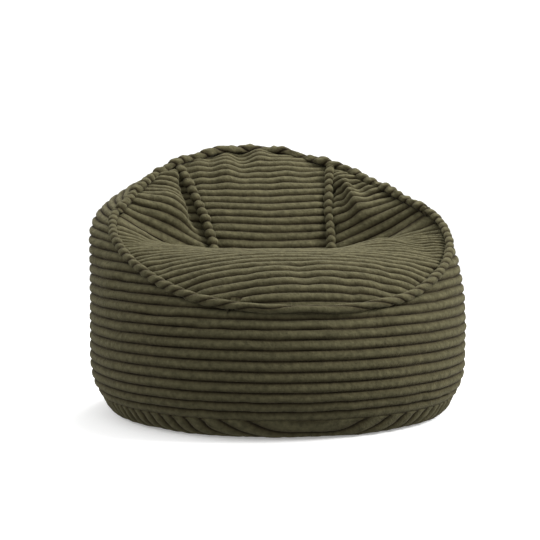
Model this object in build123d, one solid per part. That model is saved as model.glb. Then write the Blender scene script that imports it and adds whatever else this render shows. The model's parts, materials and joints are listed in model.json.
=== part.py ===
"""Bean bag chair: a jumbo-corduroy cover over a bead-filled inner liner, as separate sewn pieces.

Millimetres. The origin is the middle of the round base, on the floor. +Z is up and the open
front of the seat faces -Y, so +X is on the right of someone who looks at the front.
"""
from build123d import *
from math import atan2, cos, hypot, radians, sin
import os

import numpy as np

# ---------------------------------------------------------------- driving dimensions
DRUM_RADIUS = 425.5          # widest part of the drum, so half of the chair's width
DRUM_FROM = 130.0            # the drum has that radius from this height up
COVER = 8.0                  # corduroy, from the back of the cloth to the top of its ribs
PIPING_RADIUS = 8.5
PIPED_GAP = 13.0             # from a piped seam line to the panel beside it
SEAT_GAP = 20.0              # the same at the front of the seat, where the seam is wide open
PLAIN_GAP = 1.0              # the same at a plain seam
LINER_GAP = 23.0             # from the cover's seam line to the liner panel inside it
PIPING_LIFT = 6.0            # how far the piping's middle stands out from the seam line
RIM_PIPING_CUT = 0.6         # what each end of the rim's piping lacks, so that the two lengths meet clear
BACK_PIPING_CUT = 19.0       # the same for the backrest's piping, which stops short of rim and seat
LINER_INSET = 15.0           # liner's outer face, measured in from the cover's outer face
LINER = 1.5
FILL_INSET = 28.0

# Right half of the rim, from the middle of the front to the middle of the back
RIM = [(0, -396, 262), (130, -376, 268), (240, -313, 290), (328, -213, 340), (369, -100, 398),
       (357, 5, 450), (308, 100, 496), (254, 180, 533), (192, 245, 566), (100, 304, 595),
       (0, 330, 606)]
RIM_FRONT, RIM_CORNER, RIM_TOP = 1, 5, 8      # ends of the front row, the crease and the seam
SEAT_PROFILE = [(0, -396, 262), (0, -378, 290), (0, -350, 322), (0, -307, 346), (0, -250, 362),
                (0, -180, 369), (0, -90, 366), (0, 0, 354), (0, 50, 340), (0, 75, 325)]
BACK_PROFILE = [(0, 75, 325), (0, 105, 375), (0, 135, 430), (0, 180, 490), (0, 235, 545),
                (0, 290, 588), (0, 330, 606)]
SEAM_FOOT = 138.0                             # X of the backrest seam where it leaves the crease
SEAM_ABOVE = [(150, 130, 430), (172, 193, 510), (192, 245, 566)]
SEAT_DISH = 2.4                               # power of the curve across the seat
WING_CROWN = 14.0                             # how far a wing puffs out from its straight rows

# Edge of the base as (radius, height), from the drum down to the floor
CORNER_PROFILE = [(425.5, 130), (421.5, 95), (414, 66), (402, 40), (391, 19), (376, 5), (355, 0)]
SEAM_STEP = 3                                 # the point of it where wall and base are sewn
ZIP_STEP = 4                                  # the point of it that the zips run along
ZIP_TILT = 36.6                               # degrees that the cover faces down there
WALL_COLUMNS = 37                             # columns of points round the wall panel

# Zips: each is an arc about the chair's own vertical axis, centred on the back
COVER_ZIP_ARC = 100.0
LINER_ZIP_ARC = 60.0
SLOT = 9.0                   # half the height of the slot in the cloth, which the tapes fill
SLOT_DEPTH = 12.0            # how far the slot's cutter reaches each way, more than any cloth
TAPE = 0.8
COVER_TAPE_SUNK = 4.0        # front face of the cover's zip tapes, below the top of the ribs
LINER_TAPE_SUNK = 1.2        # front face of the liner's zip tapes, below the liner's outer face
COIL_INNER, COIL_OUTER = 0.6, 2.8             # each row of the coil, from the zip's middle
COIL_THICK = 2.2
STOP_ARC, SLIDER_ARC = 0.9, 2.4               # degrees
SLIDER_HALF_WIDTH, SLIDER_PLATE = 4.2, 1.0
SLIDER_CLEAR = 0.4
STOP_PROUD = 0.4             # how far the stops stand out from the coil


# ---------------------------------------------------------------- curves and surfaces
def curve(points):
    """Natural cubic spline through the points; its parameter counts the points from 0."""
    p = np.array(points, float)
    n = len(p)
    a = np.eye(n)
    b = np.zeros_like(p)
    for i in range(1, n - 1):
        a[i, i - 1:i + 2] = 1, 4, 1
        b[i] = 6 * (p[i + 1] - 2 * p[i] + p[i - 1])
    bend = np.linalg.solve(a, b)

    def at(t):
        t = min(max(t, 0), n - 1)
        i = min(int(t), n - 2)
        f = t - i
        g = 1 - f
        return (g * p[i] + f * p[i + 1]
                + ((g ** 3 - g) * bend[i] + (f ** 3 - f) * bend[i + 1]) / 6)
    return at


def arch(side, middle, u, power=2.0):
    """A row across the chair, symmetric about its middle; u runs from -1 to 1."""
    w = 1 - abs(u) ** power
    return np.array([side[0] * u, side[1] + (middle[1] - side[1]) * w,
                     side[2] + (middle[2] - side[2]) * w])


whole_rim = curve([(-x, y, z) for x, y, z in RIM[:0:-1]] + RIM)
seat_profile = curve(SEAT_PROFILE)
back_profile = curve(BACK_PROFILE)


def rim(s):
    """Right half of the rim; s counts the points of RIM."""
    return whole_rim(len(RIM) - 1 + s)


def seat(u, v):
    """Seat panel: v = 0 is its front row, v = 1 the crease at the foot of the backrest."""
    side = rim(RIM_FRONT + v * (RIM_CORNER - RIM_FRONT))
    return arch(side, seat_profile(v * (len(SEAT_PROFILE) - 1)), u, SEAT_DISH if v else 2.0)


def crease(x):
    """The seam between seat and backrest, by its X."""
    return seat(x / RIM[RIM_CORNER][0], 1)


back_seam = curve([crease(SEAM_FOOT)] + SEAM_ABOVE)


def backrest_centre(u, v):
    """Centre panel of the backrest: v = 0 at the crease, v = 1 at the rim."""
    side = back_seam(v * len(SEAM_ABOVE))
    row = arch(side, back_profile(v * (len(BACK_PROFILE) - 1)), u)
    at_foot = arch(back_seam(0), back_profile(0), u)
    return row + (1 - v) ** 2 * (crease(at_foot[0]) - at_foot)


def wing(u, v):
    """Right wing of the backrest: u = 0 at the centre panel's seam, u = 1 at the rim."""
    inner = back_seam(v * len(SEAM_ABOVE))
    outer = rim(RIM_CORNER + v * (RIM_TOP - RIM_CORNER))
    at_foot = back_seam(0) + (rim(RIM_CORNER) - back_seam(0)) * u
    facing = np.array([-0.62, -0.52, 0.59])
    crown = WING_CROWN * 16 * u * (1 - u) * v * (1 - v)
    return (inner + (outer - inner) * u + facing * crown
            + (1 - v) ** 2 * (crease(at_foot[0]) - at_foot))


def wall(rim_point, t):
    """One column of the wall: t = 0 at the rim, 1 where the drum starts, 2 at the floor."""
    x, y, z_rim = rim_point
    angle, r_rim = atan2(x, y), hypot(x, y)
    if t <= 1:
        z = z_rim + (DRUM_FROM - z_rim) * t
        shoulder = DRUM_FROM + 0.64 * (z_rim - RIM[0][2])
        k = min(1, (z_rim - z) / shoulder)
        r = r_rim + (DRUM_RADIUS - r_rim) * (1 - (1 - k) ** 2) ** (2 / 3)
    else:
        r, z, _ = corner_profile((t - 1) * (len(CORNER_PROFILE) - 1))
    return np.array([r * sin(angle), r * cos(angle), z])


corner_profile = curve([(r, z, 0) for r, z in CORNER_PROFILE])


# ---------------------------------------------------------------- the net of panels
# Each panel is a grid of points [row][column]. Neighbours share the points of their seam.
ROWS_SEAT = np.linspace(0, 1, 13)
ROWS_BACK = np.linspace(0, 1, 9)
U_CENTRE = np.linspace(-1, 1, 5)
U_WING = np.linspace(0, 1, 5)
X_CREASE = [SEAM_FOOT * u for u in U_CENTRE[2:]] + [
    SEAM_FOOT + (RIM[RIM_CORNER][0] - SEAM_FOOT) * u for u in U_WING[1:]]
U_SEAT = np.array([-x for x in X_CREASE[:0:-1]] + X_CREASE) / RIM[RIM_CORNER][0]
T_WALL = [0, 0.16, 0.3, 0.45, 0.6, 0.8, 1]
T_CORNER = [1 + i / (len(CORNER_PROFILE) - 1) for i in range(1, len(CORNER_PROFILE))]


def build_net():
    """All panels' grids, by name, with the wall's columns hung from the panels' own rim points."""
    wing_grid = np.array([[wing(u, v) for u in U_WING] for v in ROWS_BACK])
    grids = {
        "seat": np.array([[seat(u, v) for u in U_SEAT] for v in ROWS_SEAT]),
        "centre": np.array([[backrest_centre(u, v) for u in U_CENTRE] for v in ROWS_BACK]),
        "wing_right": wing_grid,
        "wing_left": wing_grid[:, ::-1] * [-1, 1, 1],
    }
    half = list(grids["centre"][-1][len(U_CENTRE) // 2:])
    half += list(wing_grid[-2::-1, -1])
    half += list(grids["seat"][-2::-1, -1])
    half += list(grids["seat"][0][-2:len(U_SEAT) // 2 - 1:-1])
    around = half + [p * [-1, 1, 1] for p in half[-2::-1]]        # from the back, by +X, to the back
    heights = T_CORNER[::-1] + T_WALL[::-1]
    grids["wall"] = np.array([[wall(p, t) for p in around[::-1]] for t in heights])
    return grids


def wall_rows(points):
    """The wall panel's own even grid: its columns at equal angles, from the base seam up."""
    heights = [t for t in T_CORNER[::-1] + T_WALL[::-1] if t <= T_CORNER[SEAM_STEP - 1]]
    samples = np.array([rim(s) for s in np.linspace(0, len(RIM) - 1, 400)])[::-1]
    angles = np.arctan2(samples[:, 0], samples[:, 1])
    columns = []
    for angle in np.linspace(0, -2 * np.pi, points):
        turned = abs((angle + np.pi) % (2 * np.pi) - np.pi)
        x, y, z = (np.interp(turned, angles, samples[:, i]) for i in range(3))
        columns.append((-x if -np.pi <= angle else x, y, z))
    return np.array([[wall(p, t) for p in columns] for t in heights])


def unit(v):
    return v / np.maximum(np.linalg.norm(v, axis=-1, keepdims=True), 1e-9)


def normals(grid):
    """Outward normals of a grid whose rows run to +X, or anticlockwise, and climb to the back."""
    n = np.cross(np.gradient(grid, axis=1), np.gradient(grid, axis=0))
    lengths = np.linalg.norm(n, axis=2)
    for i, j in np.argwhere(lengths < 0.03 * np.median(lengths)):     # where two sides run in line
        n[i, j] = n[min(max(i, 1), len(grid) - 2), min(max(j, 1), len(grid[0]) - 2)]
    return unit(n)


def key(point):
    return tuple(np.round(point, 2))


def mitres(grids):
    """Vectors along which all the panels that meet at a point inset evenly: by panel and by point."""
    met = {}
    for grid in grids.values():
        for point, n in zip(grid.reshape(-1, 3), normals(grid).reshape(-1, 3)):
            met.setdefault(key(point), []).append(n)
    shared = {k: np.linalg.lstsq(np.array(ns), np.ones(len(ns)), rcond=0.3)[0] for k, ns in met.items()}
    by_panel = {name: np.array([[shared[key(p)] for p in row] for row in grid])
                for name, grid in grids.items()}
    return by_panel, shared


def pulled_in(grid, first_row=0.0, last_row=0.0, first_column=0.0, last_column=0.0):
    """The grid with each edge moved into the panel by its own gap, along the surface."""
    n = normals(grid)
    moved = grid.copy()
    for axis, end, inside, gap in ((0, 0, 1, first_row), (0, -1, -2, last_row),
                                   (1, 0, 1, first_column), (1, -1, -2, last_column)):
        edge, inner = grid.take(end, axis), grid.take(inside, axis)
        along = unit(np.gradient(edge, axis=0))
        into = unit(np.cross(n.take(end, axis), along))
        into *= gap * np.sign((into * (inner - edge)).sum(axis=1, keepdims=True))
        place = (end,) if axis == 0 else (slice(None), end)
        done = moved[place] - edge                    # a corner is moved only once each way
        length = np.maximum((done ** 2).sum(axis=1, keepdims=True), 1)
        share = (done * into).sum(axis=1, keepdims=True) / length
        moved[place] += into - done * np.clip(share, 0, 1)
    return moved


# ---------------------------------------------------------------- solids
def surface(grid):
    return Face.make_surface_from_array_of_points([[tuple(p) for p in row] for row in grid], tol=0.02)


def cloth(outer_grid, inner_grid):
    """A panel of cloth: the solid between two grids, closed by a ruled face along each edge."""
    outer, inner = surface(outer_grid), surface(inner_grid)
    sides = [Face.make_surface_from_curves(a, b) for a, b in zip(outer.edges(), inner.edges())]
    return Solid(Shell([outer, inner] + sides))


def polyhedron(grids, floor_ring):
    """A closed solid of flat faces over the grids, and over the ring that they leave on the floor."""
    faces = [Face(Wire.make_polygon([tuple(p) for p in floor_ring], close=True))]

    def triangle(*points):
        if min(np.linalg.norm(points[i] - points[i - 1]) for i in range(3)) > 0.5:
            faces.append(Face(Wire.make_polygon([tuple(p) for p in points], close=True)))
    for grid in grids:
        for i in range(len(grid) - 1):
            for j in range(len(grid[0]) - 1):
                triangle(grid[i, j], grid[i, j + 1], grid[i + 1, j + 1])
                triangle(grid[i, j], grid[i + 1, j + 1], grid[i + 1, j])
    return Solid(Shell(faces))


def tube(path, radius):
    """Piping along a path: eight ruled sides between curves that run round it, and two ends."""
    p = np.array(path)
    along = unit(np.gradient(p, axis=0))
    across = unit(np.cross(along, [0, 0, 1.0]))
    upward = np.cross(across, along)
    turns = [radians(45 * k) for k in range(8)]
    rails = [p + radius * (cos(a) * across + sin(a) * upward) for a in turns]
    edges = [Edge.make_spline([tuple(q) for q in rail]) for rail in rails]
    sides = [Face.make_surface_from_curves(edges[k - 1], edges[k]) for k in range(8)]
    ends = [Face(Wire.make_polygon([tuple(rail[i]) for rail in rails], close=True)) for i in (0, -1)]
    return Solid(Shell(sides + ends))


def zip_section(radius, height, tilt, low, high, back, front):
    """A rectangle in a zip's own cross-section: low to high along the cloth, back to front out of it."""
    up, out = sin(radians(tilt)), cos(radians(tilt))
    corners = ((low, back), (low, front), (high, front), (high, back))
    return Face(Wire.make_polygon([(radius + n * out + w * up, 0, height - n * up + w * out)
                                   for w, n in corners], close=True))


def arc_of(section, arc, middle=90.0):
    """The section swept round the chair's vertical axis over an arc, in degrees."""
    return Rot(0, 0, middle - arc / 2) * revolve(section, Axis.Z, arc)


def zip_pieces(name, radius, height, tilt, arc, depth, slider_at):
    """A closed zip: two tapes, the two rows of its coil, four stops and a slider with no puller."""
    def piece(low, high, back, front, length=arc, middle=90.0):
        return arc_of(zip_section(radius, height, tilt, low, high, back, front), length, middle)
    coil_arc = arc - 2 * STOP_ARC
    top = depth + COIL_THICK
    made = {}
    for row, sign in (("upper", 1), ("lower", -1)):
        low, high = sorted((sign * COIL_INNER, sign * COIL_OUTER))
        tape_low, tape_high = sorted((sign * COIL_INNER, sign * SLOT))
        made[f"{name}_tape_{row}"] = piece(tape_low, tape_high, depth - TAPE, depth)
        made[f"{name}_coil_{row}"] = piece(low, high, depth, top, coil_arc)
        stops = [piece(low, high, depth, top + STOP_PROUD, STOP_ARC, 90 + end * (arc - STOP_ARC) / 2)
                 for end in (-1, 1)]
        made[f"{name}_stops_{row}"] = Compound(children=stops)
    half, plate, clear = SLIDER_HALF_WIDTH, SLIDER_PLATE, SLIDER_CLEAR
    front = piece(-half, half, top + clear, top + clear + plate, SLIDER_ARC, slider_at)
    back = piece(-half, half, depth - TAPE - clear - plate, depth - TAPE - clear, SLIDER_ARC, slider_at)
    gap = COIL_INNER / 2
    web = piece(-gap, gap, depth - TAPE - clear, top + clear, SLIDER_ARC / 3, slider_at)
    made[f"{name}_slider"] = front + web + back
    return made


def dish(depth, thickness, gap):
    """The round base of a bag: flat on the floor side, its edge turned up to the seam."""
    profile = np.array([corner_profile(i)[:2] for i in range(SEAM_STEP, len(CORNER_PROFILE))])
    down = unit(np.gradient(profile, axis=0))
    profile[0] += gap * down[0]
    away = np.stack([down[:, 1], -down[:, 0]], axis=1)

    def side(inward_by):
        moved = profile + inward_by * away
        moved[-1] = CORNER_PROFILE[-1][0], inward_by
        return [(r, 0, z) for r, z in moved]
    outer, inner = side(depth), side(depth + thickness)
    axis = (0, 0, depth), (0, 0, depth + thickness)
    slopes = (down[0][0], 0, down[0][1]), (-1, 0, 0)
    outline = Wire([Edge.make_spline(outer, slopes), Edge.make_line(outer[-1], axis[0]),
                    Edge.make_line(*axis), Edge.make_line(axis[1], inner[-1]),
                    Edge.make_spline(inner, slopes), Edge.make_line(inner[0], outer[0])])
    return revolve(Face(outline), Axis.Z, 360)


def panel(name, depth, thickness, rows=slice(None), **gaps):
    """A panel of cloth, its outer face at this depth, its edges pulled in from the seams around it."""
    grid = wall_rows(WALL_COLUMNS) if name == "wall" else net[name][rows]
    outer = pulled_in(grid, **gaps) - depth * normals(grid)
    return cloth(outer, outer - thickness * normals(grid))


def cover_pieces():
    """The corduroy cover's panels, with room between them for the piping in the raised seams."""
    piped = dict(first_column=PIPED_GAP, last_column=PIPED_GAP)
    plain_foot = dict(first_row=PLAIN_GAP, **piped)
    back_opening = dict(first_column=PLAIN_GAP, last_column=PLAIN_GAP)
    return {
        "seat_panel": panel("seat", 0, COVER, first_row=SEAT_GAP, last_row=PLAIN_GAP,
                            first_column=SEAT_GAP, last_column=SEAT_GAP),
        "backrest_centre_panel": panel("centre", 0, COVER, last_row=PIPED_GAP, **plain_foot),
        "backrest_wing_right": panel("wing_right", 0, COVER, WING_ROWS, **plain_foot),
        "backrest_wing_left": panel("wing_left", 0, COVER, WING_ROWS, **plain_foot),
        "wall_panel": panel("wall", 0, COVER, first_row=PLAIN_GAP, last_row=PIPED_GAP,
                            **back_opening),
        "base_panel": dish(0, COVER, PLAIN_GAP),
    }


def liner_pieces():
    """The inner liner: the same six shapes, cut smaller from thin lining cloth."""
    deep, near = LINER_GAP, PLAIN_GAP
    return {
        "liner_seat": panel("seat", LINER_INSET, LINER, first_row=deep, last_row=near,
                            first_column=deep, last_column=deep),
        "liner_backrest": panel("centre", LINER_INSET, LINER, first_row=near, last_row=deep,
                                first_column=near, last_column=near),
        "liner_wing_right": panel("wing_right", LINER_INSET, LINER, WING_ROWS, first_row=near,
                                  first_column=near, last_column=deep),
        "liner_wing_left": panel("wing_left", LINER_INSET, LINER, WING_ROWS, first_row=near,
                                 first_column=deep, last_column=near),
        "liner_wall": panel("wall", LINER_INSET, LINER, first_row=near, last_row=deep,
                            first_column=near, last_column=near),
        "liner_base": dish(LINER_INSET, LINER, near),
    }


def piping_path(points):
    """A line along a seam's points, lifted a little out of the cover."""
    return [p + PIPING_LIFT * unit(inward_at[key(p)]) for p in points]


def shortened(points, gap):
    """The path with both ends cut back."""
    path = np.array(points)
    path[0] += gap * unit(path[1] - path[0])
    path[-1] += gap * unit(path[-2] - path[-1])
    return path


def piping_pieces():
    """Piping in the raised seams: two lengths round the rim and one down each side of the centre."""
    rim_points = net["wall"][-1]
    corner_y = RIM[RIM_CORNER][1]
    first, second = np.flatnonzero(abs(rim_points[:, 1] - corner_y) < 0.01)
    front = rim_points[first:second + 1]
    back = list(rim_points[second:]) + list(rim_points[1:first + 1])
    return {
        name: tube(shortened(piping_path(line), cut), PIPING_RADIUS)
        for name, line, cut in (("rim_piping_front", front, RIM_PIPING_CUT),
                                ("rim_piping_back", back, RIM_PIPING_CUT),
                                ("backrest_piping_right", net["wing_right"][:, 0], BACK_PIPING_CUT),
                                ("backrest_piping_left", net["wing_left"][:, -1], BACK_PIPING_CUT))
    }


def fit_zips(made):
    """Cut each zip's slot in the turned-up edge of its base, and add the zip's own pieces."""
    radius, height = CORNER_PROFILE[ZIP_STEP]
    for name, base, arc, inset, sunk in (
            ("cover_zip", "base_panel", COVER_ZIP_ARC, 0, COVER_TAPE_SUNK),
            ("liner_zip", "liner_base", LINER_ZIP_ARC, LINER_INSET, LINER_TAPE_SUNK)):
        r = radius - inset * cos(radians(ZIP_TILT))
        z = height + inset * sin(radians(ZIP_TILT))
        made[base] -= arc_of(zip_section(r, z, ZIP_TILT, -SLOT, SLOT, -SLOT_DEPTH, SLOT_DEPTH), arc)
        slider_at = 90 + arc / 2 - STOP_ARC - SLIDER_ARC
        made.update(zip_pieces(name, r, z, ZIP_TILT, arc, -sunk, slider_at))


# ---------------------------------------------------------------- the chair
net = build_net()
inward, inward_at = mitres(net)
WING_ROWS = slice(0, -1)                              # a wing's last row has no width

parts = {**cover_pieces(), **piping_pieces(), **liner_pieces()}
fit_zips(parts)
fill_net = {name: (grid - FILL_INSET * inward[name])[::2, ::2] for name, grid in net.items()}
fill_net["wall"][0, :, 2] = FILL_INSET
parts["bead_fill"] = polyhedron(fill_net.values(), fill_net["wall"][0][:-1])

os.makedirs("parts", exist_ok=True)
for name, shape in parts.items():
    shape.label = name
    export_step(shape, f"parts/{name}.step")
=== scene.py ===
"""Bean bag chair in jumbo corduroy. Metres, in the CAD frame: +Z up, the seat's open front at -Y.

Every panel but the base is a grid whose rows follow the corduroy's ribs. The panels, their seams and
the piping between them all come from the same few curves.
"""
import json
from math import cos, pi, radians, sin, tau

import bpy
import numpy as np
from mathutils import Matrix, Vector


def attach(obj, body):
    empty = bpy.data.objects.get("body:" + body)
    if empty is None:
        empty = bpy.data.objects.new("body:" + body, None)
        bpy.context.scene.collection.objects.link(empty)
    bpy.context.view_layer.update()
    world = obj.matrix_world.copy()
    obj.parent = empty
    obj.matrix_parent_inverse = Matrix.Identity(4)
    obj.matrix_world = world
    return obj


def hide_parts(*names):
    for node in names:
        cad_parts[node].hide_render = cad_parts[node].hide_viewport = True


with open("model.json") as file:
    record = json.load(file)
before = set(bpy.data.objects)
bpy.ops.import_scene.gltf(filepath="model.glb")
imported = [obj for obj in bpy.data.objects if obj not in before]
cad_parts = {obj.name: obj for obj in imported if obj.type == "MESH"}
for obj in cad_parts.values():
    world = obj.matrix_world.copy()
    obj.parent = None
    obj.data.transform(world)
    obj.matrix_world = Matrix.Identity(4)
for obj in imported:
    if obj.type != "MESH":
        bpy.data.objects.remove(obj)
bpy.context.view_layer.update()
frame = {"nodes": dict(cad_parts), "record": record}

# ---------------------------------------------------------------- driving sizes
RIB = 0.0213                 # pitch of the ribs
RIB_DEPTH = 0.0078           # from a rib's crest to the bottom of the groove
STEPS = 10                   # rows of points across one rib
POINT = 0.0055               # distance between points along a rib
DRUM = 0.4245                # radius of the drum
DRUM_FROM = 0.130            # the drum has that radius from this height up
SHOULDER = 0.15              # share of the rim's rise that is added to the depth of the wall's shoulder
SHOULDER_SKEW = 0.5          # more of it at the right, less at the left
SHOULDER_POWER = 2 / 3
SEAT_DISH = 2.4              # power of the curve across the seat
DISH_EASE = 0.2              # share of the seat's depth over which the dish reaches that power
WING_CROWN = 0.018           # how far the middle of a wing stands out
WING_OUT = np.array([-.62, -.52, .59])       # and which way
SEAT_WIDTH, CENTRE_WIDTH = 0.80, 0.40        # these give the number of points in a row
WING_WIDTH, WING_HEIGHT = 0.30, 0.31
LEAN = -0.022                # the backrest has slumped this far to one side
LEAN_FROM, LEAN_TO = 0.36, 0.60              # heights at which the slump starts and is full
HEM = 0.012                  # seam allowance turned in behind a panel's edge
HEM_RUN_ON = 0.6             # share of the hem that runs on under the next panel at a plain seam
HEART = np.array([0, 0.06, 0.16])            # a point deep in the filling

# Right half of the rim, from the middle of the front to the middle of the back
RIM = [(0, -.396, .262), (.130, -.376, .268), (.240, -.313, .290), (.328, -.213, .340),
       (.369, -.100, .398), (.357, .005, .450), (.308, .100, .496), (.254, .180, .533),
       (.192, .245, .566), (.100, .304, .595), (0, .330, .606)]
RIM_FRONT, RIM_CORNER, RIM_TOP = 1, 5, 8      # ends of the front row, the crease and the seam
# Middle line of the seat from the rim to the crease, and of the backrest from the crease to the rim
SEAT = [(0, -.396, .262), (0, -.378, .290), (0, -.350, .322), (0, -.307, .346), (0, -.250, .362),
        (0, -.180, .369), (0, -.090, .366), (0, 0, .354), (0, .050, .340), (0, .075, .325)]
BACK = [(0, .075, .325), (0, .105, .375), (0, .135, .430), (0, .180, .490), (0, .235, .545),
        (0, .290, .588), (0, .330, .606)]
# The backrest's right seam: its X on the crease, and its points above that
SEAM_FOOT = 0.138
SEAM_ABOVE = [(.150, .130, .430), (.172, .193, .510), (.192, .245, .566)]
# Radius and height down the wall's foot and round the base's turned-up edge
EDGE = [(DRUM, .130), (.4215, .095), (.414, .066), (.402, .040), (.391, .019), (.376, .005), (.355, 0)]
SEAM_STEP = 3                # the point of EDGE where the wall and the base are sewn


# ---------------------------------------------------------------- curves
def curve(points):
    """Natural cubic spline; its parameter runs from 0 to 1, evenly by point."""
    p = np.array(points, float)
    n = len(p)
    a = np.eye(n)
    b = np.zeros_like(p)
    for i in range(1, n - 1):
        a[i, i - 1:i + 2] = 1, 4, 1
        b[i] = 6 * (p[i + 1] - 2 * p[i] + p[i - 1])
    bend = np.linalg.solve(a, b)

    def at(t):
        t = np.clip(np.asarray(t, float), 0, 1) * (n - 1)
        i = np.minimum(t.astype(int), n - 2)
        f = (t - i)[..., None]
        g = 1 - f
        return (g * p[i] + f * p[i + 1]
                + ((g ** 3 - g) * bend[i] + (f ** 3 - f) * bend[i + 1]) / 6)
    return at


def run_along(points):
    """How far each point is along its line, or up its column of a grid."""
    step = np.linalg.norm(np.diff(points, axis=0), axis=-1)
    return np.concatenate([np.zeros((1, *step.shape[1:])), np.cumsum(step, axis=0)])


def smooth(low, high, x):
    t = np.clip((x - low) / (high - low), 0, 1)
    return t * t * (3 - 2 * t)


def unit(v):
    return v / np.maximum(np.linalg.norm(v, axis=-1, keepdims=True), 1e-12)


whole_rim = curve([(-x, y, z) for x, y, z in RIM[:0:-1]] + RIM)
seat_profile = curve(SEAT)
back_profile = curve(BACK)
edge_profile = curve(EDGE)


def rim(s):
    """Right half of the rim; s counts the points of RIM."""
    return whole_rim((len(RIM) - 1 + np.asarray(s)) / (2 * len(RIM) - 2))


def arch(side, middle, u, power=2.0):
    """Rows across the chair, symmetric about their middles; u runs from -1 to 1."""
    w = 1 - np.abs(u) ** power
    return np.stack([side[..., 0] * u, side[..., 1] + (middle[..., 1] - side[..., 1]) * w,
                     side[..., 2] + (middle[..., 2] - side[..., 2]) * w], -1)


def seat_shape(u, v):
    side = rim(RIM_FRONT + v * (RIM_CORNER - RIM_FRONT))
    return arch(side, seat_profile(v), u, 2 + (SEAT_DISH - 2) * smooth(0, DISH_EASE, v))


def crease(x):
    return seat_shape(x / RIM[RIM_CORNER][0], np.ones_like(x))


back_seam = curve([crease(np.array(SEAM_FOOT))] + SEAM_ABOVE)


def centre_shape(u, v):
    row = arch(back_seam(v), back_profile(v), u)
    foot = arch(back_seam(v * 0), back_profile(v * 0), u)
    return row + ((1 - v) ** 2)[..., None] * (crease(foot[..., 0]) - foot)


def wing_shape(u, v):
    """Right wing: u = 0 at the centre panel's seam, 1 at the rim; v climbs from the crease."""
    inner, outer = back_seam(v), rim(RIM_CORNER + v * (RIM_TOP - RIM_CORNER))
    foot = back_seam(v * 0) + (rim(RIM_CORNER + v * 0) - back_seam(v * 0)) * u[..., None]
    crown = WING_CROWN * 16 * u * (1 - u) * v * (1 - v)
    return (inner + (outer - inner) * u[..., None] + WING_OUT * crown[..., None]
            + ((1 - v) ** 2)[..., None] * (crease(foot[..., 0]) - foot))


def wall_shape(top, t):
    """The wall under a point of the rim: t = 0 at the rim, 1 where the drum starts, 2 at the floor."""
    angle, r_rim = np.arctan2(top[..., 0], top[..., 1]), np.hypot(top[..., 0], top[..., 1])
    z_rim = top[..., 2]
    upper, lower = np.clip(t, 0, 1), np.clip(t - 1, 0, 1)
    z = z_rim + (DRUM_FROM - z_rim) * upper
    side = np.clip(top[..., 0] / RIM[RIM_CORNER][0], -1, 1)
    shoulder = DRUM_FROM + (SHOULDER + SHOULDER_SKEW * side) * (z_rim - RIM[0][2])
    k = np.clip((z_rim - z) / shoulder, 0, 1)
    r = r_rim + (DRUM - r_rim) * (1 - (1 - k) ** 2) ** SHOULDER_POWER
    foot = edge_profile(lower)
    r, z = np.where(t > 1, foot[..., 0], r), np.where(t > 1, foot[..., 1], z)
    return np.stack([r * np.sin(angle), r * np.cos(angle), z], -1)


# ---------------------------------------------------------------- noise
def lattice_noise(p, seed):
    """Smooth noise of -1 to 1 at points p, one lattice cell per unit, the same on every run."""
    p = np.asarray(p, float)
    base = np.floor(p).astype(np.int64)
    f = p - base
    f = f * f * (3 - 2 * f)
    total = 0
    for corner in np.ndindex(*(2,) * p.shape[-1]):
        cell = base + corner
        h = np.full(cell.shape[:-1], seed * 7919 + 17, np.int64)
        for axis, prime in zip(range(p.shape[-1]), (73856093, 19349663, 83492791)):
            h = (h ^ (cell[..., axis] * prime)) & 0x7FFFFFFF
            h = (h * 1103515245 + 12345) & 0x7FFFFFFF
        w = np.prod(np.where(np.array(corner), f, 1 - f), axis=-1)
        total = total + w * ((h >> 8) % 65536 / 32767.5 - 1)
    return total


def noise_at(a, b, seed):
    """The noise over two coordinates."""
    return lattice_noise(np.stack(np.broadcast_arrays(a, b), -1), seed)


# ---------------------------------------------------------------- cloth grids
def normals(grid, flip=1):
    """Outward normals; where rows or columns have run together, those of the row before."""
    n = flip * np.cross(np.gradient(grid, axis=1), np.gradient(grid, axis=0))
    for row in range(1, len(n)):
        lost = np.linalg.norm(n[row], axis=-1) < 1e-8
        n[row, lost] = n[row - 1, lost]
    return unit(n)


def lean(points):
    """The slump of the backrest to one side."""
    moved = points.copy()
    moved[..., 0] += LEAN * smooth(LEAN_FROM, LEAN_TO, points[..., 2])
    return moved


SWELL, DENT, STRAY, KNOT = 0.11, 0.05, 0.07, 0.011       # sizes of the patches in which a panel is uneven
RIB_ROUND, RIB_FULL = 2.3, 0.62              # powers that shape a rib's section
RIB_VARIES, RIB_KNOTS = 0.15, 0.09           # how much a rib's height varies along it, softly and finely
RIB_PATCH = np.array([0.05, 0.05, 0.08])     # sizes of the patches of the soft part
RIB_JUMP = 3.7               # patches between one rib and the next
STRAY_FROM, BULGE_FROM = 0.03, 0.06          # ribs stray and the cloth bulges fully this far from a seam
RISE_FROM, RISE_TO = -0.006, 0.010           # distances from a seam between which the ribs rise
PUCKER_REACH, TUCK_REACH = 0.045, 0.012      # how far from a piped seam the puckers and the valley reach


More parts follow.
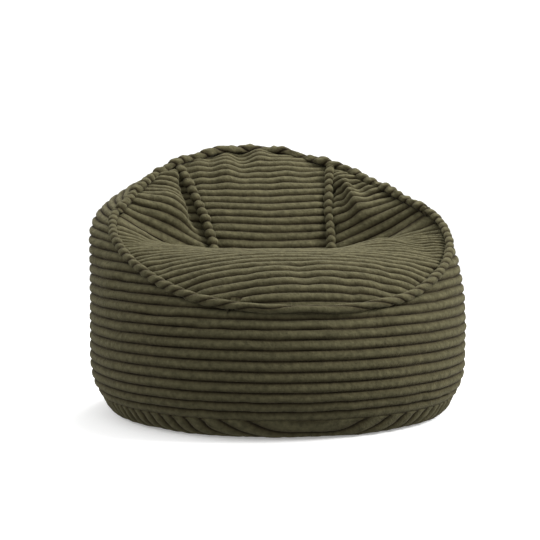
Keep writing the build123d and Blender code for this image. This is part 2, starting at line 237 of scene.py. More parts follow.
def ribbed(grid, phase, piped, plain, seed, flip=1, tuck=0.0075, bulge=0.002, pucker=0.003, waver=0.13,
           flat=0, sunk=0):
    """Raise the ribs on a smooth grid. phase counts ribs at each point, and waver is how far they stray;
    piped and plain are the distances to the nearest seam with piping and without. Where flat is 1 the
    cloth lies sunk, unribbed."""
    n = normals(grid, flip)
    edge = np.minimum(piped, plain)
    soft = lattice_noise(grid / SWELL, seed) + 0.5 * lattice_noise(grid / DENT, seed + 7)
    phase = phase + waver * lattice_noise(grid / STRAY + 5, seed + 1) * smooth(0.0, STRAY_FROM, edge)
    rib = np.floor(phase)
    across = np.abs(2 * (phase - rib) - 1)
    along = rib[..., None] * [0, 0, RIB_JUMP] + grid / RIB_PATCH
    varies, knots = lattice_noise(along, seed + 2), lattice_noise(grid / KNOT, seed + 4)
    fullness = 1 + RIB_VARIES * varies + RIB_KNOTS * knots
    height = np.maximum(1 - across ** RIB_ROUND, 0) ** RIB_FULL
    lift = -RIB_DEPTH * (1 - height * fullness)
    lift += bulge * soft * smooth(0, BULGE_FROM, edge)
    lift += pucker * np.exp(-piped / PUCKER_REACH) * lattice_noise(along * 0.8 + 9, seed + 3)
    lift = lift * smooth(RISE_FROM, RISE_TO, edge) - tuck * np.exp(-piped / TUCK_REACH)
    lift = lift * (1 - flat) - sunk * flat
    # The second value, 0 in the grooves, 1 on the crests and halved where flat is 1, sets the painted shade
    # and painted highlight of the ribs.
    return grid + n * lift[..., None], (1 - across) * (1 - 0.5 * flat)


def hemmed(points, rib, n, sides):
    """Turn the sewn edges in: one more row or column behind each side that has a seam. At a plain seam
    it also runs on past the edge, under the panel beside it."""
    def joined(points, rib, n, kinds):
        grids = [points], [rib], [n]
        for kind, side, other in ((kinds[0], 0, 3), (kinds[1], -1, -4)):
            if kind == "-":
                continue
            past = HEM_RUN_ON * unit(points[side] - points[other]) if kind == "s" else 0
            row = points[side] + HEM * (past - n[side])
            # The turned-in rows get a rib value of 0: painted shade, the darkest groove colour, on the hem.
            for grid, new in zip(grids, (row, rib[side] * 0, n[side])):
                grid.insert(len(grid) if side else 0, new[None])
        return [np.concatenate(grid) for grid in grids]

    points, rib, n = joined(points, rib, n, sides[:2])
    points, rib, n = joined(points.swapaxes(0, 1), rib.T, n.swapaxes(0, 1), sides[2:])
    return points.swapaxes(0, 1), rib.T


def placed(name, data):
    """A new object in the scene."""
    obj = bpy.data.objects.new(name, data)
    bpy.context.scene.collection.objects.link(obj)
    return obj


def mesh_piece(name, points, faces):
    """A smooth-shaded mesh, in the scene."""
    mesh = bpy.data.meshes.new(name)
    mesh.from_pydata(points, [], faces)
    mesh.polygons.foreach_set("use_smooth", np.ones(len(mesh.polygons), bool))
    return placed(name, mesh)


NO_FACE = 4e-8               # twice the area, in square metres, under which a face is left out


def grid_mesh(name, grid, closed=False, flip=1):
    """A mesh over a grid of points, with no faces where rows have run together, and its points' places."""
    rows, columns = grid.shape[:2]
    index = np.arange(rows * columns).reshape(rows, columns)
    if closed:
        index = np.concatenate([index, index[:, :1]], axis=1)
    quads = np.stack([index[:-1, :-1], index[:-1, 1:], index[1:, 1:], index[1:, :-1]], -1).reshape(-1, 4)
    quads = quads[:, ::flip]
    points = grid.reshape(-1, 3)
    corners = points[quads]
    size = np.linalg.norm(np.cross(corners[:, 2] - corners[:, 0], corners[:, 3] - corners[:, 1]), axis=1)
    quads = quads[size > NO_FACE]
    used, quads = np.unique(quads, return_inverse=True)
    return mesh_piece(name, points[used].tolist(), quads.reshape(-1, 4).tolist()), used


def cloth_mesh(name, grid, rib, closed=False, flip=1):
    """A finished panel; its rib attribute is 0 in the grooves and 1 on the crests, and sets the material's
    painted shade in the grooves and painted highlight on the crests.
    """
    obj, used = grid_mesh(name, grid, closed, flip)
    layer = obj.data.attributes.new("rib", "FLOAT", "POINT")
    layer.data.foreach_set("value", rib.reshape(-1)[used].astype(np.float32))
    return obj


CELL = 0.009                 # spacing of the grids that the cloth simulation runs on
FRAMES = 20                  # steps of the simulation
CLOTH_QUALITY, CLOTH_MASS = 6, 0.3
CLOTH_TENSION, CLOTH_SHEAR, CLOTH_BENDING = 25, 8, 0.8
PRESSURE, WING_PRESSURE = 1.5, 8             # of the filling on a panel from behind
CRUMPLE_SIZE = 0.045         # size of the patches in which the cloth is uneven before the simulation


def settle(grid, pinned, seed, slack, cap, crumple, flip=1, pressure=PRESSURE, closed=False):
    """Blow a slack panel up between its seams with Blender's cloth, and return how its points moved,
    none of them further than cap."""
    moved = np.zeros_like(grid)
    uneven = crumple * lattice_noise(grid / CRUMPLE_SIZE, seed) * ~pinned
    obj, used = grid_mesh("settling", grid + normals(grid, flip) * uneven[..., None], closed, flip)
    pins = obj.vertex_groups.new(name="pins")
    pins.add(np.flatnonzero(pinned.reshape(-1)[used]).tolist(), 1.0, "REPLACE")
    modifier = obj.modifiers.new("cloth", "CLOTH")
    modifier.collision_settings.use_collision = False
    cloth = modifier.settings
    cloth.quality, cloth.mass, cloth.vertex_group_mass = CLOTH_QUALITY, CLOTH_MASS, "pins"
    cloth.tension_stiffness = cloth.compression_stiffness = CLOTH_TENSION
    cloth.shear_stiffness, cloth.bending_stiffness = CLOTH_SHEAR, CLOTH_BENDING
    cloth.shrink_min = cloth.shrink_max = -slack
    cloth.use_pressure, cloth.uniform_pressure_force = True, pressure
    cloth.effector_weights.gravity = 0
    for step in range(1, FRAMES + 1):
        bpy.context.scene.frame_set(step)
    result = obj.evaluated_get(bpy.context.evaluated_depsgraph_get()).data
    found = np.empty(len(used) * 3, np.float32)
    result.vertices.foreach_get("co", found)
    moved.reshape(-1, 3)[used] = found.reshape(-1, 3) - grid.reshape(-1, 3)[used]
    far = np.linalg.norm(moved, axis=-1, keepdims=True)
    moved *= cap * np.tanh(far / cap) / np.maximum(far, 1e-9)
    bpy.data.objects.remove(obj)
    bpy.context.scene.frame_set(1)
    return moved


def sample(field, row, column, closed=False):
    """field between its points, at fractional rows and columns."""
    rows, columns = field.shape[:2]
    r = np.minimum(row.astype(int), rows - 2)
    c = np.floor(column).astype(int) if closed else np.minimum(column.astype(int), columns - 2)
    fr, fc = (row - r)[..., None], (column - c)[..., None]
    c, d = c % columns, (c + 1) % columns
    return ((1 - fr) * ((1 - fc) * field[r, c] + fc * field[r, d])
            + fr * ((1 - fc) * field[r + 1, c] + fc * field[r + 1, d]))


def softened(field, times, closed=False):
    """field with its corners rounded off and its open edges kept. The field handed in changes too."""
    for _ in range(times):
        field[1:-1] = (field[:-2] + 2 * field[1:-1] + field[2:]) / 4
        if closed:
            field = (np.roll(field, 1, axis=1) + 2 * field + np.roll(field, -1, axis=1)) / 4
        else:
            field[:, 1:-1] = (field[:, :-2] + 2 * field[:, 1:-1] + field[:, 2:]) / 4
    return field


NO_SEAM = 1.0                # metres: further than any seam


def seam_distances(grid, sides):
    """Distances to the piped and to the plain seams. sides says which each is: first and last row,
    first and last column, as p, s or - for no seam."""
    up, across = run_along(grid), run_along(grid.swapaxes(0, 1)).T
    found = {"p": [np.full(up.shape, NO_SEAM)], "s": [np.full(up.shape, NO_SEAM)], "-": []}
    for kind, d in zip(sides, (up, up[-1:] - up, across, across[:, -1:] - across)):
        found[kind].append(d)
    return np.minimum.reduce(found["p"]), np.minimum.reduce(found["s"])


# ---------------------------------------------------------------- panels
def profile_even(at):
    """The parameter of a curve at an even fraction of its length, and that length."""
    t = np.linspace(0, 1, 400)
    run = run_along(at(t))
    return (lambda s: np.interp(s, run / run[-1], t)), run[-1]


seat_even, SEAT_LENGTH = profile_even(seat_profile)
back_even, BACK_LENGTH = profile_even(back_profile)


LINING_IN = 0.018            # the lining lies this far behind the cover
LINING_DROP = 0.030          # but this far below it at the rim
LINING_PULL = 0.014          # and also this far in, at the rim's front
LINING_REACH = 0.045         # distance from the rim over which that fades
FRONT_FULL, FRONT_NONE = -0.2, 0.1           # values of Y between which the front's pull fades


def lining_mesh(name, grid, every, closed=False, flip=1):
    """The lining behind a panel, with every so many of its rows and columns. Towards the rim it drops
    straight down, so that all linings meet there."""
    grid = grid[::every[0], ::every[1]]
    line = lean(whole_rim(np.linspace(0, 1, 300)))
    from_rim = np.sqrt(((grid[..., None, :] - line) ** 2).sum(-1).min(-1))
    near = 1 - smooth(0, LINING_REACH, from_rim)
    ahead = 1 - smooth(FRONT_FULL, FRONT_NONE, grid[..., 1])
    radial = unit(grid * [1, 1, 0])
    pull = -LINING_PULL * ahead[..., None] * radial - np.array([0, 0, LINING_DROP])
    behind = grid - LINING_IN * (1 - near)[..., None] * normals(grid, flip) + near[..., None] * pull
    return grid_mesh(name, behind, closed, flip)[0]


def sewn_panel(name, lining, shape, width, length, sides, seed, fold, slack, cap, crumple, pucker,
               us=(-1, 1), sign=1, by_length=False, pressure=PRESSURE, waver=0.13):
    """A panel between seams: its smooth shape, slackened and blown up, then folded, ribbed and hemmed.
    shape(u, v) gives the right-hand shape; sign -1 mirrors it. Returns the cover and its lining."""
    def smooth_grid(spacing_u, spacing_v):
        u, v = np.meshgrid(np.linspace(*us, int(width / spacing_u)),
                           np.linspace(0, 1, int(length / spacing_v)))
        return lean(shape(u, v) * [sign, 1, 1]), u, v

    coarse = smooth_grid(CELL, CELL)[0]
    pinned = np.zeros(coarse.shape[:2], bool)
    for side, edge in zip(sides, (np.s_[0], np.s_[-1], np.s_[:, 0], np.s_[:, -1])):
        pinned[edge] |= side != "-"
    pinned |= np.linalg.norm(np.gradient(coarse, axis=1), axis=-1) < CELL / 4
    moved = settle(coarse, pinned, seed, slack, cap, crumple, flip=sign, pressure=pressure)
    grid, u, v = smooth_grid(POINT, RIB / STEPS)
    row, column = np.meshgrid(np.linspace(0, coarse.shape[0] - 1, grid.shape[0]),
                              np.linspace(0, coarse.shape[1] - 1, grid.shape[1]), indexing="ij")
    grid = grid + softened(sample(moved, row, column), times=6)
    grid = grid + normals(grid, sign) * fold(u, v)[..., None]
    phase = run_along(grid) / RIB if by_length else v * round(length / RIB)
    distances = seam_distances(grid, sides)
    points, rib = ribbed(grid, phase, *distances, seed=seed, flip=sign, pucker=pucker, waver=waver)
    cover = cloth_mesh(name, *hemmed(points, rib, normals(grid, sign), sides), flip=sign)
    return cover, lining_mesh(lining, grid, every=(4, 2), flip=sign)


def mound(u, v, middle, reach, height):
    """A soft mound in a panel, so high at its middle."""
    return height * np.exp(-((u - middle[0]) / reach[0]) ** 2 - ((v - middle[1]) / reach[1]) ** 2)


def waves(u, v, first, second, share):
    """Two sets of waves over a panel. Each is given by its waves across, its waves up and its start."""
    (a, b, c), (d, e, f) = first, second
    return np.sin(tau * (a * u + b * v + c)) + share * np.sin(tau * (d * u + e * v + f))


def centre_fold(u, v):
    """Slack cloth gathered in waves near the top, most of it at the left."""
    gathered = smooth(0.40, 0.85, v) * (1 - 0.45 * smooth(-0.4, 0.5, u)) * (1 - u ** 4)
    return 0.0065 * waves(u, v, (1.3, 0.9, 0.2), (2.3, -1.1, 0), 0.7) * gathered


def left_fold(u, v):
    """The wing's full lower half stands out over a valley along the seam, with a second fold above it."""
    full = mound(u, v, (0.60, 0.32), (0.27, 0.20), 0.022)
    in_valley = smooth(0.10, 0.40, v) * (1 - smooth(0.8, 1, v))
    valley = 0.021 * np.exp(-((u - 0.10 - 0.25 * v) / 0.11) ** 2) * in_valley
    return full - valley + mound(u, v, (0.55, 0.74), (0.3, 0.08), 0.010)


def right_fold(u, v):
    """Folds that cross the ribs, a short way apart, about the wing's middle, over a fuller lower part."""
    folded = smooth(0.18, 0.4, v) * (1 - smooth(0.5, 0.75, v)) * smooth(0, 0.12, u) * (1 - u ** 6)
    crossing = 0.0065 * waves(u, v, (1.9, 0.35, 0.1), (3.1, -0.8, 0), 0.6) * folded
    return crossing + mound(u, v, (0.5, 0.28), (0.25, 0.16), 0.012)


def seat_fold(u, v):
    """The seat puffs up at its two back corners, beside the wings, and more at the right."""
    return mound(np.abs(u), v, (0.62, 0.76), (0.20, 0.17), 0.014 + 0.007 * np.sign(u))


def make_seat():
    return sewn_panel("seat_cover", "lining_seat_cloth", lambda u, v: seat_shape(u, seat_even(v)),
                      SEAT_WIDTH, SEAT_LENGTH, "pspp", 3, seat_fold, slack=0.02, cap=0.003, crumple=0.0006,
                      pucker=0.004, waver=0.05)


def make_centre():
    return sewn_panel("backrest_centre_cover", "lining_backrest_cloth",
                      lambda u, v: centre_shape(u, back_even(v)), CENTRE_WIDTH, BACK_LENGTH, "sppp", 11,
                      centre_fold, slack=0.04, cap=0.006, crumple=0.0015, pucker=0.004, by_length=True)


def make_wing(side):
    sign, seed, fold = {"right": (1, 13, right_fold), "left": (-1, 17, left_fold)}[side]
    return sewn_panel(f"backrest_wing_{side}_cover", f"lining_wing_{side}_cloth", wing_shape, WING_WIDTH,
                      WING_HEIGHT, "s-pp", seed, fold, slack=0.08, cap=0.010, crumple=0.005, pucker=0.008,
                      us=(0, 1), sign=sign, pressure=WING_PRESSURE)


def rim_loop(count):
    """The rim as an even closed loop, so many points, by falling angle."""
    loop = np.concatenate([whole_rim(np.linspace(0.5, 1, 500)), whole_rim(np.linspace(0, 0.5, 500))[1:]])
    run = run_along(loop)
    s = np.linspace(0, run[-1], count, endpoint=False)
    top = np.stack([np.interp(s, run, loop[:, i]) for i in range(3)], -1)
    return top[np.argsort(np.arctan2(top[:, 0], top[:, 1]))[::-1]]


WALL_CELLS = 44              # rows of the wall's grid in the simulation
WALL_SAMPLES = 600           # rows of the grid on which its ribs are measured out


def make_wall():
    """The wall: ribs level round the drum, cut off by the rim and by the base's seam."""
    foot = 1 + SEAM_STEP / (len(EDGE) - 1)
    columns = int(tau * DRUM / CELL)
    t = np.linspace(foot, 0, WALL_CELLS)
    coarse = lean(wall_shape(rim_loop(columns)[None], t[:, None] + np.zeros(columns)))
    pinned = np.zeros(coarse.shape[:2], bool)
    pinned[0] = pinned[-1] = True
    moved = settle(coarse, pinned, 21, slack=0.015, cap=0.003, crumple=0.0007, closed=True)

    wide = int(tau * DRUM / POINT)
    top = rim_loop(wide)
    fine = np.linspace(foot, 0, WALL_SAMPLES)
    up = run_along(wall_shape(top[None], fine[:, None] + np.zeros(wide))) / RIB
    levels = np.arange(0, np.ceil(up.max() * STEPS) + 1) / STEPS
    t = np.stack([np.interp(levels, up[:, j], fine) for j in range(wide)], axis=1)
    grid = lean(wall_shape(np.broadcast_to(top[None], (*t.shape, 3)), t))
    row = (foot - t) / foot * (coarse.shape[0] - 1)
    column = np.broadcast_to(np.arange(wide) / wide * columns, t.shape)
    grid = grid + softened(sample(moved, row, column, closed=True), times=4, closed=True)
    phase = np.minimum(levels[:, None], up[-1][None])
    to_top = (up[-1][None] - phase) * RIB
    points, rib = ribbed(grid, phase, to_top, phase * RIB + 0.002, seed=23, tuck=0.006, waver=0.05)
    cover = cloth_mesh("wall_cover", *hemmed(points, rib, normals(grid), "s---"), closed=True)
    return cover, lining_mesh("lining_wall_cloth", grid, every=(6, 3), closed=True)


ZIP_RADIUS, ZIP_HEIGHT, ZIP_DOWN = 0.391, 0.019, radians(36.6)      # the zip's line, and how it faces down
ZIP_HALF_ARC = radians(50)
ZIP_HALF_WIDTH, ZIP_SUNK = 0.0075, 0.0054
CHANNEL_SIDE, CHANNEL_END = 0.0015, 0.02     # slopes of the zip's channel: metres, and radians at its ends
BASE_COLUMNS, BASE_ROWS = 900, 60            # points round the base, and rows on its edge and on its flat
FLOOR_GAP = 0.0002           # the base's points stay this far above the floor


def make_base():
    """The base: flat on the floor, with a turned-up edge that has the zip's channel at the back."""
    angle = np.linspace(0, tau, BASE_COLUMNS, endpoint=False)
    edge = edge_profile(np.linspace(SEAM_STEP / (len(EDGE) - 1), 1, BASE_ROWS))
    flat = np.linspace(EDGE[-1][0], 0.0, BASE_ROWS)[1:]
    r = np.concatenate([edge[:, 0], flat])[::-1]
    z = np.concatenate([edge[:, 1], flat * 0])[::-1]
    grid = np.stack([r[:, None] * np.sin(angle), r[:, None] * np.cos(angle), z[:, None] + angle * 0], -1)
    run = run_along(np.stack([r, z], -1))
    away = (run[-1] - run)[:, None] + angle * 0
    from_zip = np.abs(np.interp(ZIP_HEIGHT, z[BASE_ROWS:], run[BASE_ROWS:]) - run)[:, None]
    from_back = np.abs((angle + pi) % tau - pi)[None]
    channel = ((1 - smooth(ZIP_HALF_WIDTH, ZIP_HALF_WIDTH + CHANNEL_SIDE, from_zip))
               * (1 - smooth(ZIP_HALF_ARC, ZIP_HALF_ARC + CHANNEL_END, from_back)))
    points, rib = ribbed(grid, grid[..., 1] / RIB, away + 1, away, seed=31, flip=-1, bulge=0.001,
                         flat=channel, sunk=ZIP_SUNK)
    points[..., 2] = np.maximum(points[..., 2], FLOOR_GAP)
    sewn = hemmed(points, rib, normals(grid, -1), "-s--")
    cover = cloth_mesh("base_cover", *sewn, closed=True, flip=-1)
    return cover, lining_mesh("lining_base_cloth", grid, every=(6, 6), closed=True, flip=-1)


# ---------------------------------------------------------------- piping
ROPE_STEP, ROPE_SIDES = 0.0022, 32           # distance between points along a roll, and points round it
BEAD_ROUND, BEAD_FULL = 2.2, 0.6             # powers that shape a bead's section
BEAD_TOP = 1.06              # share of the radius that a bead rises to
HIDDEN_FROM, HIDDEN_TO = 0.72 * pi, 0.95 * pi            # how far round the roll goes into the seam
WANDER_SIZE = 0.045          # length over which a roll strays from its seam
SLIP, SLIP_SIZE = 0.22, 0.05                 # how far beads are out of place, in ribs, and over what length
BEAD_JUMP, BEAD_PATCH = 2.3, 0.09            # noise of the beads' size: patches between beads, their length
CRUMPLE_LENGTH, CRUMPLE_ROUND = 0.012, 1.6   # size of the crumples on them, and how many to a radian


def rope(name, path, out, radius, seed, twist, rough, wander, waist, chevron=0.0):
    """A roll of corduroy over a seam. The cloth's ribs run along X, so where the seam does too they
    lie along the roll, and elsewhere they wind round it or cross it as beads. waist is the width in
    the grooves."""
    run = run_along(path)
    s = np.linspace(0, run[-1], int(run[-1] / ROPE_STEP))
    p, out = (np.stack([np.interp(s, run, field[:, i]) for i in range(3)], -1) for field in (path, out))
    for axis in range(3):
        p[:, axis] += wander * noise_at(s / WANDER_SIZE, axis, seed + 5)
    p = softened(p[:, None], times=3)[:, 0]
    along = unit(np.gradient(p, axis=0))
    out = unit(out - (out * along).sum(1, keepdims=True) * along)
    inner = np.cross(out, along)
    turn = np.linspace(-pi, pi, ROPE_SIDES, endpoint=False)[None]
    level = np.abs(along[:, 0])
    rising = np.sign(along[:, 1] + along[:, 2]) * np.sqrt(np.maximum(1 - level ** 2, 0))
    climb = np.concatenate([[0], np.cumsum(rising[1:] * np.diff(s))]) / RIB
    climb -= climb[np.argmax(level)] - 0.5
    slip = SLIP * noise_at(s / SLIP_SIZE, seed, seed)
    phase = ((climb + slip)[:, None] + twist * along[:, :1] * turn * radius / RIB
             + chevron * np.abs(turn) / pi)
    across = np.abs(2 * (phase - np.floor(phase)) - 1)
    hidden = smooth(HIDDEN_FROM, HIDDEN_TO, np.abs(turn))
    bead = np.maximum(1 - across ** BEAD_ROUND, 0) ** BEAD_FULL * (1 - hidden) + 0.5 * hidden
    bead_noise = noise_at(np.floor(phase) * BEAD_JUMP, s[:, None] / BEAD_PATCH, seed + 1)
    crumple = noise_at(s[:, None] / CRUMPLE_LENGTH, turn * CRUMPLE_ROUND, seed + 2)
    uneven = (rough * bead_noise + 0.5 * rough * crumple) * (1 - hidden)
    r = radius * (waist + (BEAD_TOP - waist) * bead) * (1 + uneven)
    r *= np.sqrt(smooth(0, radius, np.minimum(s, s[-1] - s)))[:, None]
    grid = p[:, None] + r[..., None] * (np.cos(turn)[..., None] * out[:, None]
                                        + np.sin(turn)[..., None] * inner[:, None])
    # Painted shade in the grooves between beads, a painted highlight on their tops, and painted shade all
    # round the part of the roll that goes into the seam.
    return cloth_mesh(name, grid, (1 - across) * (1 - hidden), closed=True, flip=-1)


def make_rim_piping():
    """The rim's piping, in a front piece round the seat and a back piece over the backrest. The front
    piece's ends lie under the back piece's."""
    corner, end, overlap = RIM_CORNER, len(RIM) - 1, 0.06
    front = rim(np.linspace(-corner - overlap, corner + overlap, 400))
    back = np.concatenate([rim(np.linspace(corner, end, 250)), rim(np.linspace(-end, -corner, 250))[1:]])
    for name, line, radius, lift, seed, twist, rough, wander, waist in (
            ("front", front, 0.0094, 0.004, 41, 1.0, 0.10, 0.0012, 0.62),
            ("back", back, 0.0116, 0.0, 43, 0.5, 0.36, 0.0034, 0.56)):
        out = unit(line - HEART)
        yield name, rope(f"rim_piping_{name}_cover", lean(line + lift * out), out, radius, seed, twist,
                         rough, wander, waist)


def make_back_piping():
    """The piping over the backrest's two seams: round beads at the left, chevrons at the right."""
    for name, sign, radius, chevron in (("left", -1, 0.0120, 0.0), ("right", 1, 0.0110, 0.45)):
        line = lean(back_seam(np.linspace(0.02, 0.97, 200)) * [sign, 1, 1]) + [0, -0.004, 0.002]
        out = np.broadcast_to(unit(np.array([0, -0.85, 0.5])), line.shape)
        yield name, rope(f"backrest_piping_{name}_cover", line, out, radius, 47 + sign, twist=0.3,
                         rough=0.12, wander=0.001, waist=0.50, chevron=chevron)


# ---------------------------------------------------------------- materials
def dial(node, settings):
    """Set a node's inputs by name."""
    for name, value in settings.items():
        node.inputs[name].default_value = value
    return node


def material(name, settings):
    mat = bpy.data.materials.new(name)
    mat.use_nodes = True
    nodes, links = mat.node_tree.nodes, mat.node_tree.links
    return mat, nodes, links, dial(nodes["Principled BSDF"], settings)


def noise_node(nodes, links, place, scale, detail):
    """The output of a noise over the piece's own coordinates."""
    noise = dial(nodes.new("ShaderNodeTexNoise"), {"Scale": scale, "Detail": detail})
    links.new(place.outputs["Object"], noise.inputs["Vector"])
    return noise.outputs["Fac"]


def bump_node(nodes, links, height, strength, distance):
    bump = dial(nodes.new("ShaderNodeBump"), {"Strength": strength, "Distance": distance})
    links.new(height, bump.inputs["Height"])
    return bump


def colour_ramp(nodes, links, value, low, high):
    """A ramp from one place and colour to another."""
    ramp = nodes.new("ShaderNodeValToRGB")
    for end, (place, colour) in zip(ramp.color_ramp.elements, (low, high)):
        end.position, end.color = place, (*colour, 1)
    links.new(value, ramp.inputs["Fac"])
    return ramp


def corduroy(name="corduroy"):
    """Olive-brown pile, mottled by its nap, with painted shade that makes the grooves dark and a painted
    highlight that makes the ribs' crests paler and greener.
    """
    mat, nodes, links, shader = material(name, {
        "Roughness": 0.92, "Specular IOR Level": 0.08, "Sheen Weight": 0.10, "Sheen Roughness": 0.42,
        "Sheen Tint": (0.72, 0.66, 0.47, 1)})
    rib = nodes.new("ShaderNodeAttribute")
    rib.attribute_name = "rib"
    # Painted shade at the groove end of this ramp, the cloth's own colour in the middle, a painted
    # highlight at the crest end.
    ramp = colour_ramp(nodes, links, rib.outputs["Fac"],
                       (0.03, (0.012, 0.008, 0.004)), (0.80, (0.094, 0.086, 0.046)))
    ramp.color_ramp.elements.new(0.27).color = (0.059, 0.051, 0.026, 1)
    place = nodes.new("ShaderNodeTexCoord")
    cloud = noise_node(nodes, links, place, 90, 6)
    shade = dial(nodes.new("ShaderNodeMapRange"),
                 {"From Min": 0.3, "From Max": 0.7, "To Min": 0.74, "To Max": 1.30})
    links.new(cloud, shade.inputs["Value"])
    mix = nodes.new("ShaderNodeMix")
    mix.data_type, mix.blend_type = "RGBA", "MULTIPLY"
    mix.inputs["Factor"].default_value = 1
    links.new(ramp.outputs["Color"], mix.inputs["A"])
    links.new(shade.outputs["Result"], mix.inputs["B"])
    links.new(mix.outputs["Result"], shader.inputs["Base Color"])
    pile = bump_node(nodes, links, noise_node(nodes, links, place, 900, 3), 0.45, 0.0012)
    crush = bump_node(nodes, links, noise_node(nodes, links, place, 190, 4), 0.6, 0.004)
    links.new(pile.outputs["Normal"], crush.inputs["Normal"])
    links.new(crush.outputs["Normal"], shader.inputs["Normal"])
    return mat


def plain(name, colour, roughness, metallic=0.0, grain=400, depth=0.0004):
    """A solid colour with a fine grain of its own scale."""
    mat, nodes, links, shader = material(name, {"Roughness": roughness, "Metallic": metallic})
    noise = noise_node(nodes, links, nodes.new("ShaderNodeTexCoord"), grain, 4)
    ramp = colour_ramp(nodes, links, noise, (0.3, [c * 0.75 for c in colour]),
                       (0.7, [min(1, c * 1.2) for c in colour]))
    links.new(ramp.outputs["Color"], shader.inputs["Base Color"])
    links.new(bump_node(nodes, links, noise, 0.5, depth).outputs["Normal"], shader.inputs["Normal"])
    return mat


# ---------------------------------------------------------------- the filling and the zip
FILL_VOXEL = 0.009           # cell of the remesh
FILL_IN = 0.012              # the fill lies this far inside its CAD solid
FILL_LUMP, FILL_LUMP_SIZE = 0.002, 0.008     # depth and width of its lumps


def make_fill():
    """The loose beads, slumped with the backrest: the CAD fill's mesh, remeshed, pulled in and lumpy."""
    piece = placed("bead_fill_mass", frame["nodes"]["bead_fill"].data.copy())
    remesh = piece.modifiers.new("remesh", "REMESH")
    remesh.mode, remesh.voxel_size, remesh.use_smooth_shade = "VOXEL", FILL_VOXEL, True
    mesh = bpy.data.meshes.new_from_object(piece.evaluated_get(bpy.context.evaluated_depsgraph_get()))
    piece.modifiers.clear()
    piece.data = mesh
    points, n = np.empty((len(mesh.vertices), 3), np.float32), np.empty((len(mesh.vertices), 3), np.float32)
    mesh.vertices.foreach_get("co", points.reshape(-1))
    mesh.vertices.foreach_get("normal", n.reshape(-1))
    inward = FILL_IN + FILL_LUMP * lattice_noise(points / FILL_LUMP_SIZE, 61)
    pulled = lean(points.astype(float)) - n * inward[:, None]
    mesh.vertices.foreach_set("co", pulled.astype(np.float32).reshape(-1))
    mesh.update()
    return piece


COIL_PITCH = 0.0026          # distance between the loops of one side
LOOP_RINGS, LOOP_SIDES = 6, 8                        # a loop's rings, and the points in each
LOOP_END = 1.2               # how far round its half circle the end rings are, in radians
LOOP_ALONG, LOOP_ACROSS, LOOP_OUT = 0.00100, 0.0017, 0.00105        # half sizes of a loop
LOOP_SUNK, LOOP_OFF = 0.0029, 0.0013                 # its middle: behind the zip's line, and to one side


def make_coil(name, side):
    """One side of the cover's zip: a row of rounded nylon loops, half a pitch off the other side's."""
    turn, rise = np.meshgrid(np.linspace(0, tau, LOOP_SIDES, endpoint=False),
                             np.linspace(-LOOP_END, LOOP_END, LOOP_RINGS))
    loop = np.stack([LOOP_ALONG * np.cos(turn) * np.cos(rise), LOOP_ACROSS * np.sin(rise),
                     LOOP_OUT * np.sin(turn) * np.cos(rise)], -1)
    index = np.arange(turn.size).reshape(turn.shape)
    after = np.roll(index, -1, axis=1)
    around = np.stack([index[:-1], after[:-1], after[1:], index[1:]], -1).reshape(-1, 4)
    faces = around.tolist() + [index[0, ::-1].tolist(), index[-1].tolist()]
    points, quads = [], []
    for k in range(int(2 * ZIP_HALF_ARC * ZIP_RADIUS / COIL_PITCH)):
        angle = -ZIP_HALF_ARC + (k + 0.5 + 0.25 * side) * COIL_PITCH / ZIP_RADIUS
        radial, ahead = np.array([sin(angle), cos(angle), 0]), np.array([cos(angle), -sin(angle), 0])
        out = radial * cos(ZIP_DOWN) - np.array([0, 0, sin(ZIP_DOWN)])
        up = radial * sin(ZIP_DOWN) + np.array([0, 0, cos(ZIP_DOWN)])
        centre = radial * ZIP_RADIUS + np.array([0, 0, ZIP_HEIGHT]) - LOOP_SUNK * out + side * LOOP_OFF * up
        placed_loop = centre + loop[..., :1] * ahead + loop[..., 1:2] * up + loop[..., 2:] * out
        points += placed_loop.reshape(-1, 3).tolist()
        quads += [[index.size * k + i for i in face] for face in faces]
    return mesh_piece(name, points, quads)


# ---------------------------------------------------------------- the chair
def dress(obj, node, look, fill=None):
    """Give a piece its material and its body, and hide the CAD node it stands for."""
    obj.data.materials.clear()
    obj.data.materials.append(look)
    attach(obj, "chair")
    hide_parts(node)


finishes = {
    "lining": plain("lining", (0.52, 0.52, 0.48), 0.85, grain=900),
    "zip_tape": plain("zip_tape", (0.055, 0.048, 0.028), 0.9, grain=1500),
    "zip_coil": plain("zip_coil", (0.045, 0.040, 0.026), 0.45, grain=600),
    "zip_slider": plain("zip_slider", (0.07, 0.065, 0.045), 0.35, 0.6, grain=500, depth=0.0001),
    "zip_metal": plain("zip_metal", (0.55, 0.55, 0.54), 0.35, 1.0, grain=700, depth=0.0001),
    "beads": plain("beads", (0.85, 0.85, 0.84), 0.6, grain=250, depth=0.002),
}
slots = {row["node"]: row["material_slot"] for row in frame["record"]["subparts"]}
for node, obj in frame["nodes"].items():
    if slots.get(node) in finishes:
        obj.data.materials.clear()
        obj.data.materials.append(finishes[slots[node]])

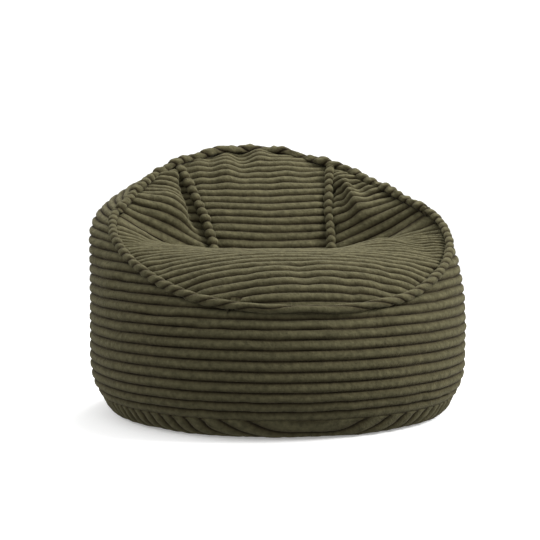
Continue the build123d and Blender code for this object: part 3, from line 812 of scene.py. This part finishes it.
cloth = corduroy()
panels = {"seat_panel": ("liner_seat", 0.8, make_seat),
          "backrest_centre_panel": ("liner_backrest", 0.7, make_centre),
          "backrest_wing_right": ("liner_wing_right", 0.6, lambda: make_wing("right")),
          "backrest_wing_left": ("liner_wing_left", 0.6, lambda: make_wing("left")),
          "wall_panel": ("liner_wall", 0.9, make_wall),
          "base_panel": ("liner_base", 0.9, make_base)}
for node, (liner_node, fill, make) in panels.items():
    cover, lining = make()
    dress(cover, node, cloth, fill)
    dress(lining, liner_node, finishes["lining"], fill)
for end, piece in make_rim_piping():
    dress(piece, "rim_piping_" + end, cloth, 0.9)
for side, piece in make_back_piping():
    dress(piece, "backrest_piping_" + side, cloth, 0.9)
dress(make_fill(), "bead_fill", finishes["beads"], 0.8)
for row, side in (("upper", 1), ("lower", -1)):
    coil = make_coil(f"cover_zip_{row}_loops", side)
    dress(coil, "cover_zip_coil_" + row, finishes["zip_coil"])

# ---------------------------------------------------------------- the studio
FOCAL, SENSOR = 80.0, 36.0
DISTANCE, EYE = 2.75, 0.488
YAW, PAN, TILT = 9.0, 0.38, 3.56         # degrees: round the chair, off its middle, and down
AIM = Vector((0, 0, 0.3))                # where the lights point
BACKDROP = 1.15                          # strength of the world where the camera sees it
FLOOR_HALF, FLOOR_WHITE, FLOOR_GLOW = 60.0, 0.95, 0.28


def make_camera():
    data = bpy.data.cameras.new("camera")
    data.lens, data.sensor_width = FOCAL, SENSOR
    camera = placed("camera", data)
    camera.location = (-DISTANCE * sin(radians(YAW)), -DISTANCE * cos(radians(YAW)), EYE)
    camera.rotation_euler = (radians(90 - TILT), 0, radians(-YAW + PAN))
    bpy.context.scene.camera = camera


def area_light(name, place, size, power):
    data = bpy.data.lights.new(name, "AREA")
    data.shape, data.size, data.energy = "DISK", size, power
    lamp = placed(name, data)
    lamp.location = place
    lamp.rotation_euler = (AIM - Vector(place)).to_track_quat("-Z", "Y").to_euler()


def make_world():
    """Plain white to look at; as light it is a little dimmer from the front, and dim below the floor."""
    world = bpy.data.worlds.new("studio")
    world.use_nodes = True
    nodes, links = world.node_tree.nodes, world.node_tree.links
    place = nodes.new("ShaderNodeTexCoord")
    split = nodes.new("ShaderNodeSeparateXYZ")
    links.new(place.outputs["Generated"], split.inputs["Vector"])

    def ramp(axis, low, high, dark, bright):
        level = dial(nodes.new("ShaderNodeMapRange"),
                     {"From Min": low, "From Max": high, "To Min": dark, "To Max": bright})
        links.new(split.outputs[axis], level.inputs["Value"])
        return level.outputs["Result"]

    strength = nodes.new("ShaderNodeMath")
    strength.operation = "MULTIPLY"
    links.new(ramp("Y", -0.6, 0.6, 0.84, 0.9), strength.inputs[0])
    links.new(ramp("Z", -0.03, 0.0, 0.35, 1.0), strength.inputs[1])
    seen = nodes.new("ShaderNodeLightPath")
    choose = dial(nodes.new("ShaderNodeMix"), {"B": BACKDROP})
    links.new(seen.outputs["Is Camera Ray"], choose.inputs["Factor"])
    links.new(strength.outputs["Value"], choose.inputs["A"])
    links.new(choose.outputs["Result"], nodes["Background"].inputs["Strength"])
    nodes["Background"].inputs["Color"].default_value = (1, 1, 1, 1)
    bpy.context.scene.world = world


def make_studio():
    """A white floor that throws no light back up; a key light from the right, one from above and a weak
    one from the left."""
    make_world()
    area_light("key", (2.2, -0.9, 1.8), 1.1, 72)
    area_light("top", (0.3, 0.9, 2.6), 1.3, 52)
    area_light("edge", (-2.3, 0.6, 1.3), 1.0, 14)
    mesh = bpy.data.meshes.new("floor")
    corners = [(x * FLOOR_HALF, y * FLOOR_HALF, 0) for x, y in ((-1, -1), (1, -1), (1, 1), (-1, 1))]
    mesh.from_pydata(corners, [], [(0, 1, 2, 3)])
    floor = placed("floor", mesh)
    floor.visible_diffuse = False
    mesh.materials.append(material("floor", {
        "Base Color": (FLOOR_WHITE, FLOOR_WHITE, FLOOR_WHITE, 1), "Roughness": 0.9,
        "Specular IOR Level": 0.0, "Emission Color": (1, 1, 1, 1), "Emission Strength": FLOOR_GLOW})[0])
    bpy.context.scene.view_settings.view_transform = "Standard"


make_camera()
make_studio()
